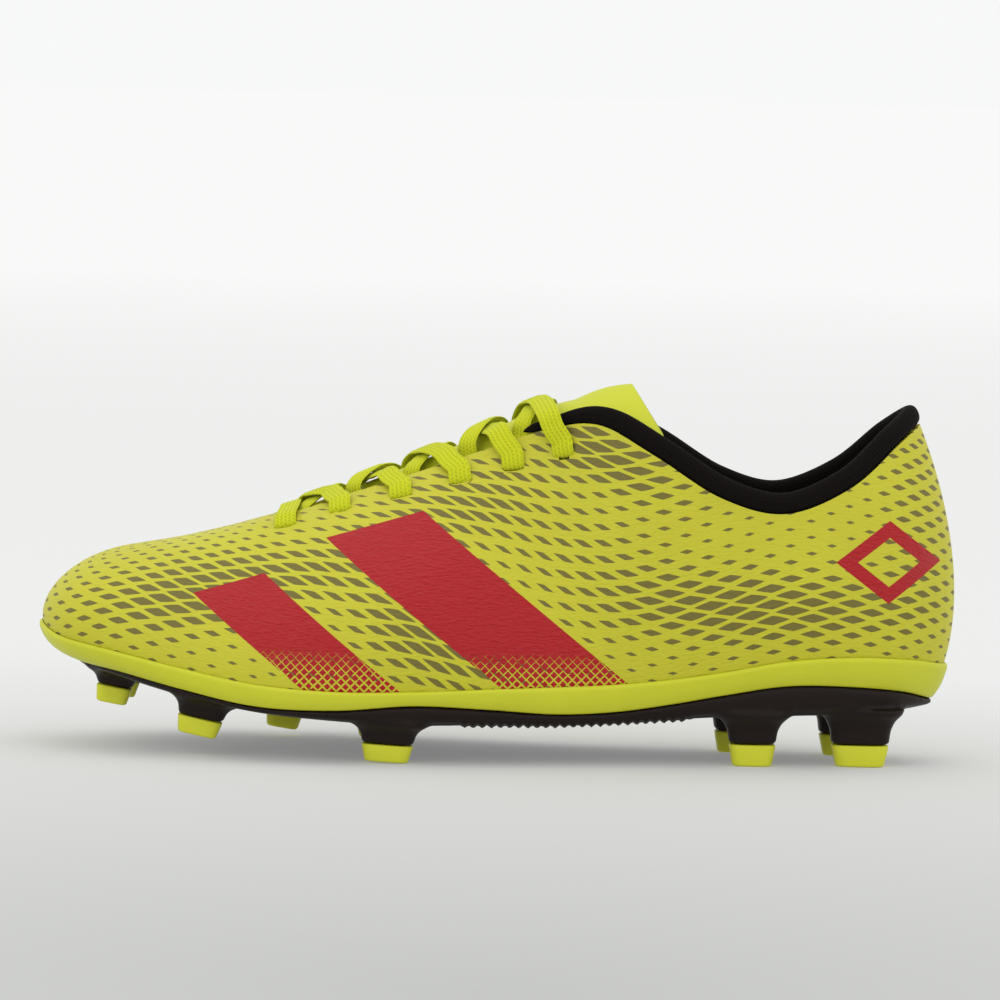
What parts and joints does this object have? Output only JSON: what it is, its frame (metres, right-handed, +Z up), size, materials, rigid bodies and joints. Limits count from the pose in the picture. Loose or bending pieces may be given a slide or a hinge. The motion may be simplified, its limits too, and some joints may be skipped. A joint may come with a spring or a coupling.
{
  "type": "soccer cleat",
  "caption": "Left firm-ground soccer cleat in yellow-green with red bands, black sole plate, moulded studs and flat laces.",
  "frame": {"origin": "under the middle of the shoe, on the ground that the heel and ball studs stand on", "axes": "+X from the toe to the heel, -Y the lateral (outer) side of a left shoe, +Z up"},
  "size_m": [0.2864, 0.0956, 0.1165],
  "materials": {
    "upper": "satin",
    "edge_band": "satin",
    "sole_plate": "satin",
    "stud_tip": "satin",
    "collar_textile": "matte",
    "lining": "matte",
    "foam": "matte",
    "stiffener": "matte",
    "eyestay": "matte",
    "tongue": "satin",
    "lace": "matte",
    "aglet": "gloss",
    "board": "matte",
    "insole": "matte"
  },
  "bodies": {
    "boot": {"upper_shell": "upper", "edge_band": "edge_band", "sole_plate": "sole_plate", "collar_roll": "collar_textile", "vamp_lining": "lining", "quarter_lining": "lining", "collar_foam": "foam", "toe_puff": "stiffener", "heel_counter": "stiffener", "eyestay_backer_lateral": "eyestay", "eyestay_backer_medial": "eyestay", "tongue_base": "tongue", "lace": "lace", "lace_end_lateral": "lace", "lace_end_medial": "lace", "aglet_lateral": "aglet", "aglet_medial": "aglet", "lasting_board": "board", "insole": "insole", "heel_wedge": "foam", "stud_tip_toe_lateral": "stud_tip", "stud_tip_toe_medial": "stud_tip", "stud_tip_fore_lateral": "stud_tip", "stud_tip_fore_medial": "stud_tip", "stud_tip_ball_lateral": "stud_tip", "stud_tip_ball_medial": "stud_tip", "stud_tip_heel_front_lateral": "stud_tip", "stud_tip_heel_front_medial": "stud_tip", "stud_tip_heel_rear_lateral": "stud_tip", "stud_tip_heel_rear_medial": "stud_tip"},
    "tongue_top": {"tongue_flap": "tongue"}
  },
  "joints": [
    {"name": "tongue_fold", "type": "hinge", "parent": "boot", "child": "tongue_top", "pos_m": [0.02348, -0.0005, 0.1115], "axis": [0, -1, 0], "range_deg": [0, 60]}
  ]
}
